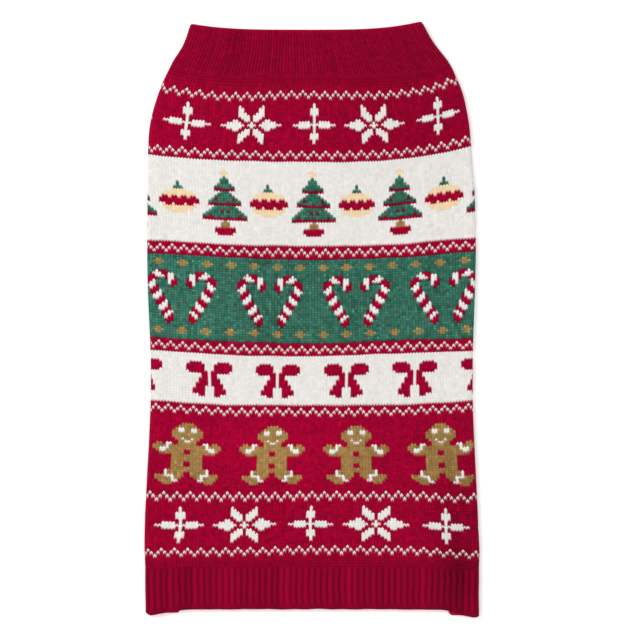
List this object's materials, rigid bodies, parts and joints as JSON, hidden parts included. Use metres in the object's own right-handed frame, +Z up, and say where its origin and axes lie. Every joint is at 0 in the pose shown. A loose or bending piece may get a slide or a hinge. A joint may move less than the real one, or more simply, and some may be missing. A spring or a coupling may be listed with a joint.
{
  "type": "dog sweater",
  "caption": "Knitted dog sweater laid flat: patterned back panel folded round both sides, plain belly panel with leg holes, ribbed collar, hem and leg bands.",
  "frame": {"origin": "centre of the sweater's footprint, on the surface that it lies on", "axes": "+Z up out of the back panel, +Y toward the neck, +X to the right with the neck at the top"},
  "size_m": [0.2414, 0.4291, 0.0062],
  "materials": {
    "patterned_knit": "matte jacquard knit in red, white, green and gold acrylic",
    "plain_knit": "matte red jersey knit",
    "rib_knit": "matte deep red rib knit"
  },
  "bodies": {
    "root": {"back_panel": "patterned_knit", "belly_panel": "plain_knit", "collar_rib": "rib_knit", "hem_rib": "rib_knit", "leg_cuff_left": "rib_knit", "leg_cuff_right": "rib_knit"}
  },
  "joints": []
}
